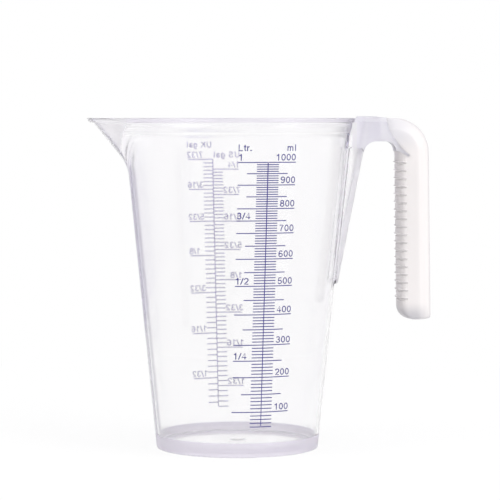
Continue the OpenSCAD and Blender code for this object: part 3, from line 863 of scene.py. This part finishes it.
def soft_grip(name, sizes):
    """The soft grip, darker where it thins out over the arm, with painted shade at its foot and a painted
    dark rim where it is seen edge on.
    """
    finishes = sizes.finishes
    made, tree, shader, end = new_material(name, IOR=GRIP_IOR)
    skin = add_skin(tree, shader, finishes.grip_rough, grain_scale=2600.0, wave_scale=60.0, grain=0.00004)
    mask = place_masks(tree, sizes.jug)
    # Painted shade: a dark rim where the grip is seen edge on, on its back past the fingers' side
    along = fade_between(tree, node(tree, "LayerWeight").outputs["Facing"], start=0.4, end=0.7)
    rim = maths(tree, "MULTIPLY", along, mask("past_fingers"))
    # Painted shade at the grip's foot, and its painted dark rim, are laid over the grip's colour
    feed(tree, shader.inputs["Base Color"], layered(
        tree, mottled(tree, skin, finishes.grip, times=1.03),
        (mask("over_arm", "grip_top"), finishes.grip_end), (mask("grip_foot", "fingers"), finishes.grip_foot),
        (rim, finishes.grip_rim)))
    return made


def print_ink(name, rgb):
    """Printed ink, thinner and paler in places."""
    made, tree, shader, end = new_material(name)
    skin = add_skin(tree, shader, rough=0.45, grain_scale=3000.0, wave_scale=500.0, grain=0.00001)
    feed(tree, shader.inputs["Base Color"], mottled(tree, skin, rgb, times=1.5, plus=0.01))
    return made


def finish_of(slot):
    """The material for that slot, built at its first use."""
    name = slot + "_finish"
    if name in bpy.data.materials:
        return bpy.data.materials[name]
    sizes = settings(bpy.context)
    finishes = sizes.finishes
    frosted = {
        "frosted_plastic": (finishes.frosted, finishes.frosted_through),
        "foot_plastic": (finishes.foot, finishes.foot_through),
        "pillar_plastic": (finishes.pillar, finishes.pillar_through),
        "edge_plastic": (finishes.keel, finishes.keel_through),
    }
    if slot in frosted:
        return frosted_plastic(name, finishes, *frosted[slot])
    if slot == "clear_plastic":
        return clear_plastic(name, sizes)
    if slot == "soft_grip":
        return soft_grip(name, sizes)
    return print_ink(name, finishes.front_ink if slot == "front_ink" else finishes.back_ink)


def dress(obj, finish):
    """Gives a piece its material and slot, and fixes it to the jug."""
    obj.data.materials.clear()
    obj.data.materials.append(finish_of(finish))
    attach(obj, "root")


SIX = [bow(36, 30, 25, 24, 0, 360, 20),
       [(11, 30), (11.5, 52), (16, 74), (26, 89), (38, 94), (50, 91), (58, 80)]]

# Plain upright letters in hundredths of their height: the step to the next letter, then the single strokes
LETTERS = {
    "0": (76, [bow(36, 50, 25, 44, 0, 360, 24)]),
    "1": (76, [[(42, 0), (42, 100)], [(15, 77), (30, 80), (38, 88), (41, 96)]]),
    "2": (76, [bow(36, 69, 25, 25, 172, -30, 14) + [(32, 27), (13, 6), (63, 6)]]),
    "3": (76, [bow(35, 73, 21, 21, 160, -90, 12), bow(35, 29, 25, 23, 90, -165, 14)]),
    "4": (76, [[(48, 0), (48, 96), (7, 29), (66, 29)]]),
    "5": (76, [[(59, 94), (20, 94), (13, 49)] + bow(35, 32, 26, 26, 140, -160, 16)]),
    "6": (76, SIX),
    "7": (76, [[(9, 94), (62, 94), (47, 70), (35, 40), (28, 0)]]),
    "8": (76, [bow(36, 74, 21, 20, -90, 270, 18), bow(36, 29, 26, 23, 90, 450, 20)]),
    "9": (76, [[(72 - x, 100 - y) for x, y in stroke] for stroke in SIX]),
    "/": (40, [[(2, -2), (36, 100)]]),
    "L": (68, [[(10, 100), (10, 6), (58, 6)]]),
    "t": (40, [[(20, 94), (20, 18), (25, 8), (37, 6)], [(4, 67), (37, 67)]]),
    "r": (44, [[(14, 0), (14, 73)], [(14, 44), (21, 62), (40, 68)]]),
    ".": (36, [[(12, 2), (12, 17)], [(20, 2), (20, 17)]]),
    "m": (112, [[(13, 0), (13, 73)], bow(32, 46, 17, 21, 170, 0, 8) + [(49, 0)],
                bow(68, 46, 19, 21, 170, 0, 8) + [(87, 0)]]),
    "l": (32, [[(16, 0), (16, 100)]]),
    "U": (94, [[(14, 100)] + bow(41, 33, 27, 27, 180, 360, 14) + [(68, 100)]]),
    "K": (90, [[(14, 0), (14, 100)], [(68, 100), (14, 37)], [(31, 56), (74, 0)]]),
    "S": (88, [[(67, 74), (60, 88), (41, 94), (23, 89), (16, 75), (23, 61), (42, 53), (62, 43), (68, 27),
                (60, 12), (41, 6), (20, 12), (12, 28)]]),
    "g": (76, [bow(34, 37, 22, 30, 0, 360, 18), [(56, 72), (56, 0), (50, -16), (34, -22), (16, -15)]]),
    "a": (76, [[(13, 52), (20, 64), (35, 68), (49, 62), (53, 50), (53, 12), (61, 5)],
               [(53, 42), (36, 38), (18, 32), (13, 19), (19, 8), (32, 5), (46, 13), (53, 27)]]),
    " ": (36, []),
}


def wrap_on_wall(obj, jug, turn, z, ink):
    """Lays a flat word, drawn in metres, on the tapered wall about a direction and height."""
    slope = math.cos(math.atan(jug.taper))
    deep = max(abs(vertex.co.z) for vertex in obj.data.vertices)
    for vertex in obj.data.vertices:
        u, v, w = vertex.co
        height = z + v * slope
        radius = outer_radius(jug, height)
        around = turn + u / radius
        reach = radius + ink * (0.5 + 0.5 * w / deep)
        vertex.co = (reach * math.cos(around), reach * math.sin(around), height)


def label(text, sizes, turn, z, height, end):
    """One printed word or number: its baseline at z, its outer end that far from the scale's upright line."""
    scale = sizes.scale
    upright = height / 100
    across = upright * scale.digit_width
    last_gap, first_gap, meets = 12, 10, 0.1
    wide = sum(LETTERS[letter][0] for letter in text) - last_gap
    left = end - (wide if end > 0 else first_gap) * across
    curve = bpy.data.curves.new("word", "CURVE")
    curve.dimensions, curve.bevel_depth, curve.bevel_resolution = "3D", height * scale.stroke / 2, 1
    curve.use_fill_caps = True
    for letter in text:
        step, strokes = LETTERS[letter]
        for stroke in strokes:
            line = curve.splines.new("POLY")
            closed = math.dist(stroke[0], stroke[-1]) < meets
            points = stroke[:-1] if closed else stroke
            line.points.add(len(points) - 1)
            for point, (x, y) in zip(line.points, points):
                point.co = (left + x * across, y * upright, 0, 1)
            line.use_cyclic_u = closed
        left += step * across
    obj = bpy.data.objects.new("word", curve)
    bpy.context.scene.collection.objects.link(obj)
    pick(obj)
    bpy.ops.object.convert(target="MESH")
    obj = bpy.context.object
    wrap_on_wall(obj, sizes.jug, turn, z, scale.ink)
    return obj


def print_numbers(name, ink, sizes, turn, height, end, numbers, unit, unit_rise):
    """One scale's numbers, each above its mark, and its unit above the last, joined into one piece."""
    made = []
    for text, litres in numbers:
        z = fill_height(sizes.jug, litres) + sizes.scale.gap
        made.append(label(text, sizes, turn, z, height, end))
    made.append(label(unit, sizes, turn, z + height * unit_rise, height, end))
    deselect()
    for obj in made:
        obj.select_set(True)
    bpy.context.view_layer.objects.active = made[0]
    bpy.ops.object.join()
    dress(new_piece(name), ink)


def seen_directly(tree):
    """1 where the camera, a mirror or a clear piece looks at a surface, and 0 for scattered light."""
    path = node(tree, "LightPath").outputs
    value = maths(tree, "MAXIMUM", path["Is Camera Ray"], path["Is Transmission Ray"])
    return maths(tree, "MAXIMUM", value, path["Is Glossy Ray"])


def mix_shaders(tree, end, share, first, second):
    """Shows the second shader in that share over the first."""
    mix = node(tree, "MixShader", {"Fac": share, 1: first.outputs[0], 2: second.outputs[0]})
    feed(tree, end.inputs["Surface"], mix.outputs["Shader"])


def pale_floor():
    """The floor's material: white to whoever looks at it, apart from a soft grey ring about the jug, and
    glowing fully under the jug, a painted pool of light for the light that comes through the clear plastic.
    """
    made, tree, shader, end = new_material("pale_floor", Roughness=0.9, Specular_IOR_Level=0.0)
    feed(tree, shader.inputs["Base Color"], (0.93, 0.93, 0.94))
    grey = (0.86,) * 3
    place = node(tree, "TexCoord").outputs["Object"]
    away = node(tree, "VectorMath", {0: place}, operation="LENGTH").outputs["Value"]
    # Painted light: under the jug the floor glows fully, so no shadow shows there through the clear plastic;
    # the grey ring about it keeps some of the jug's shadow
    glow_and_painted_light = colour_steps(tree, away, [
        (0.0, WHITE), (0.0405, WHITE), (0.0435, grey), (0.14, grey), (0.42, WHITE), (1.0, WHITE)])
    share = maths(tree, "MULTIPLY", glow_and_painted_light, seen_directly(tree))
    mix_shaders(tree, end, share, shader, node(tree, "Emission"))
    return made


def light_world(world, studio):
    """Scattered light gets an even fill, the camera sees white, and clear pieces see a shade at each side."""
    world.use_nodes = True
    tree = world.node_tree
    tree.nodes.clear()
    end = node(tree, "OutputWorld")
    place = node(tree, "TexCoord").outputs["Generated"]
    side = node(tree, "SeparateXYZ", {"Vector": place}).outputs["X"]
    rgb = layered(
        tree, WHITE, (fade_between(tree, side, -0.04, -0.3), studio.left_side),
        (fade_between(tree, side, 0.08, 0.5), studio.right_side),
        (node(tree, "LightPath").outputs["Is Camera Ray"], WHITE))
    seen = node(tree, "Background", {"Color": rgb})
    plain = node(tree, "Background", {"Color": WHITE, "Strength": studio.fill})
    mix_shaders(tree, end, seen_directly(tree), plain, seen)


# Softboxes: place, turn in degrees, size and power
SOFTBOXES = {
    "right_softbox": ((0.9, -0.55, 0.75), (55, 0, 58), 0.7, 7.6),
    "left_softbox": ((-0.95, -0.5, 0.7), (57, 0, -62), 0.6, 4.6),
    "top_softbox": ((0.0, 0.1, 1.4), (0, 0, 0), 0.9, 1.2),
}

# The body's other finishes, in the order of their numbers after the clear plastic's
BODY_SLOTS = ("frosted_plastic", "foot_plastic", "edge_plastic", "pillar_plastic")
CLEAR, FROSTED, FOOT, EDGE, PILLAR = range(5)


def face_finish(face, sizes):
    """Number of the body's finish at a face."""
    jug, arm, pillar = sizes.jug, sizes.arm, sizes.pillar
    x, y, z = face.center
    beyond = math.hypot(x, y) - outer_radius(jug, z)
    at_lip, at_wall, margin, outside, outwards, downwards = 2.6, 4.5, 0.0001, 0.001, 0.3, -0.4
    pillar_from, foot_from, foot_near, foot_top, foot_skin = 0.05, 0.045, 0.002, 0.0074, -0.0006
    keel_from, keel_width = -0.0545, 0.0016
    clear_of_rim = jug.collar_step * (at_lip if z > jug.rim_height - jug.lip_height else at_wall)
    if x > arm.reach or (x > 0 and z > arm.root_height - margin and beyond > clear_of_rim):
        return FROSTED
    if x > pillar_from and z < arm.root_height and beyond > outside and face.normal.x > outwards:
        return PILLAR
    if x > foot_from and abs(z - pillar.foot_height) < foot_near and face.normal.z < downwards:
        return PILLAR
    if z < foot_top and beyond > foot_skin:
        return FOOT
    return EDGE if x < keel_from and abs(y) < keel_width else CLEAR


class JUG_OT_body(bpy.types.Operator):
    """Builds the clear body with its spout, pillar and arm"""

    bl_idname = "jug.body"
    bl_label = "Clear body"

    def execute(self, context):
        sizes = settings(context)
        body = grid_piece("clear_body", outside_points(sizes))
        cut(body, arm_piece(sizes), "UNION")
        cut(body, grid_piece("hollow", hollow_points(sizes)), "DIFFERENCE")
        weld(body)
        smooth(body, 40)
        modify(body, "WEIGHTED_NORMAL", keep_sharp=True)
        dress(body, "clear_plastic")
        for slot in BODY_SLOTS:
            body.data.materials.append(finish_of(slot))
        for face in body.data.polygons:
            face.material_index = face_finish(face, sizes)
        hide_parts("jug_body")
        return {"FINISHED"}


class JUG_OT_grip(bpy.types.Operator):
    """Builds the soft ribbed grip"""

    bl_idname = "jug.grip"
    bl_label = "Soft grip"

    def execute(self, context):
        sizes = settings(context)
        grip = grip_piece(sizes)
        w, end = sizes.arm.half_width * 1.5, arm_end(sizes)
        root, above, below, clearance, past_side = 0.05, 0.18, 0.0025, 0.00005, 0.0001
        low = end[-1][1] - below
        side = sizes.grip.bend_reach + sizes.grip.bend_radius - sizes.grip.depth - past_side
        limit = [(side, low), (root, low), (root, above), (sizes.arm.reach, above)] + end[1:]
        limit = [(x + clearance, 0, z) for x, z in limit + [(side, end[-1][1])]]
        space = outline_piece("sleeve_space", limit, (0, -w, 0), (0, 2 * w, 0))
        cut(grip, space, "DIFFERENCE")
        smooth(grip, 35)
        dress(grip, "soft_grip")
        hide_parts("handle_grip")
        return {"FINISHED"}


class JUG_OT_marks(bpy.types.Operator):
    """Gives the printed marks their ink"""

    bl_idname = "jug.marks"
    bl_label = "Printed marks"

    def execute(self, context):
        for name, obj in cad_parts.items():
            if name.startswith(("front_", "back_")):
                ink = name.split("_")[0] + "_ink"
                obj.data.materials.clear()
                obj.data.materials.append(finish_of(ink))
        return {"FINISHED"}


class JUG_OT_front_numbers(bpy.types.Operator):
    """Prints the numbers of the litre and millilitre scales"""

    bl_idname = "jug.front_numbers"
    bl_label = "Front numbers"

    def execute(self, context):
        sizes = settings(context)
        scale = sizes.scale
        place = (sizes, -math.pi / 2 + scale.front_turn, scale.digit_height)
        end, rise = scale.long_mark, 1.45
        numbers = [(str(number), number / 1000) for number in range(100, 1001, 100)]
        print_numbers("front_millilitre_numbers", "front_ink", *place, end, numbers, "ml", rise)
        numbers = [("1/4", 0.25), ("1/2", 0.5), ("3/4", 0.75), ("1", 1.0)]
        print_numbers("front_litre_numbers", "front_ink", *place, -end, numbers, "Ltr.", rise)
        return {"FINISHED"}


class JUG_OT_back_numbers(bpy.types.Operator):
    """Prints the fractions of the two gallon scales"""

    bl_idname = "jug.back_numbers"
    bl_label = "Back numbers"

    def execute(self, context):
        sizes = settings(context)
        scale = sizes.scale
        place = (sizes, math.pi / 2 + scale.back_turn, scale.back_digit_height)
        rise, past_mark = 1.7, 0.0008
        for side, unit, gallon, last in ((1, "uk", 4.54609, 7), (-1, "us", 3.78541, 8)):
            end = side * (scale.gallon_mark + past_mark)
            numbers = [(str(Fraction(part, 32)), gallon * part / 32) for part in range(1, last + 1)]
            name = "back_" + unit + "_gallon_numbers"
            print_numbers(name, "back_ink", *place, end, numbers, unit.upper() + " gal", rise)
        return {"FINISHED"}


class JUG_OT_studio(bpy.types.Operator):
    """Sets up the floor, the light and the camera"""

    bl_idname = "jug.studio"
    bl_label = "Studio"

    def execute(self, context):
        studio, scene = settings(context).studio, context.scene
        deselect()
        bpy.ops.mesh.primitive_circle_add(vertices=96, radius=0.5, fill_type="NGON", location=(0, 0, 0))
        floor = new_piece("floor")
        floor.data.materials.append(pale_floor())

        paths = scene.cycles
        paths.max_bounces, paths.glossy_bounces, paths.transmission_bounces = 20, 16, 20
        scene.world = scene.world or bpy.data.worlds.new("studio")
        light_world(scene.world, studio)
        for name, (place, turn, size, power) in SOFTBOXES.items():
            deselect()
            bpy.ops.object.light_add(type="AREA", location=place, rotation=[math.radians(t) for t in turn])
            lamp = new_piece(name).data
            lamp.shape, lamp.size, lamp.energy = "SQUARE", size, power

        deselect()
        bpy.ops.object.camera_add(
            location=(0, -studio.camera_distance, studio.camera_height),
            rotation=(math.pi / 2 - studio.camera_tilt, 0, 0))
        camera = bpy.context.object
        camera.data.lens, camera.data.sensor_width = studio.lens, 36.0
        camera.data.shift_x = studio.shift
        scene.camera = camera
        scene.view_settings.view_transform = "Standard"
        return {"FINISHED"}


class MeasuringJug(bpy.types.PropertyGroup):
    """All settings of the measuring jug"""

    jug: bpy.props.PointerProperty(type=JugSizes)
    spout: bpy.props.PointerProperty(type=SpoutSizes)
    pillar: bpy.props.PointerProperty(type=PillarSizes)
    arm: bpy.props.PointerProperty(type=ArmSizes)
    grip: bpy.props.PointerProperty(type=GripSizes)
    scale: bpy.props.PointerProperty(type=ScaleSizes)
    finishes: bpy.props.PointerProperty(type=JugFinishes)
    studio: bpy.props.PointerProperty(type=StudioSizes)


class JUG_PT_sidebar(bpy.types.Panel):
    """Lists the jug's sizes, finishes and building steps"""

    bl_idname = "JUG_PT_sidebar"
    bl_label = "Measuring jug"
    bl_space_type = "VIEW_3D"
    bl_region_type = "UI"
    bl_category = "Measuring jug"

    def draw(self, context):
        sizes = settings(context)
        for group in ("jug", "spout", "pillar", "arm", "grip", "scale", "finishes", "studio"):
            box = self.layout.box()
            box.label(text=group.capitalize())
            part = getattr(sizes, group)
            for name in part.__annotations__:
                box.prop(part, name)
        for step in STEPS:
            self.layout.operator(step.bl_idname)


STEPS = (JUG_OT_body, JUG_OT_grip, JUG_OT_marks, JUG_OT_front_numbers, JUG_OT_back_numbers, JUG_OT_studio)
CLASSES = (JugSizes, SpoutSizes, PillarSizes, ArmSizes, GripSizes, ScaleSizes, JugFinishes, StudioSizes,
           MeasuringJug, *STEPS, JUG_PT_sidebar)


def register():
    for made in CLASSES:
        bpy.utils.register_class(made)
    bpy.types.Scene.measuring_jug = bpy.props.PointerProperty(type=MeasuringJug)


def unregister():
    del bpy.types.Scene.measuring_jug
    for made in reversed(CLASSES):
        bpy.utils.unregister_class(made)


def main():
    register()
    bpy.ops.jug.body()
    bpy.ops.jug.grip()
    bpy.ops.jug.marks()
    bpy.ops.jug.front_numbers()
    bpy.ops.jug.back_numbers()
    bpy.ops.jug.studio()


if __name__ == "__main__":
    main()
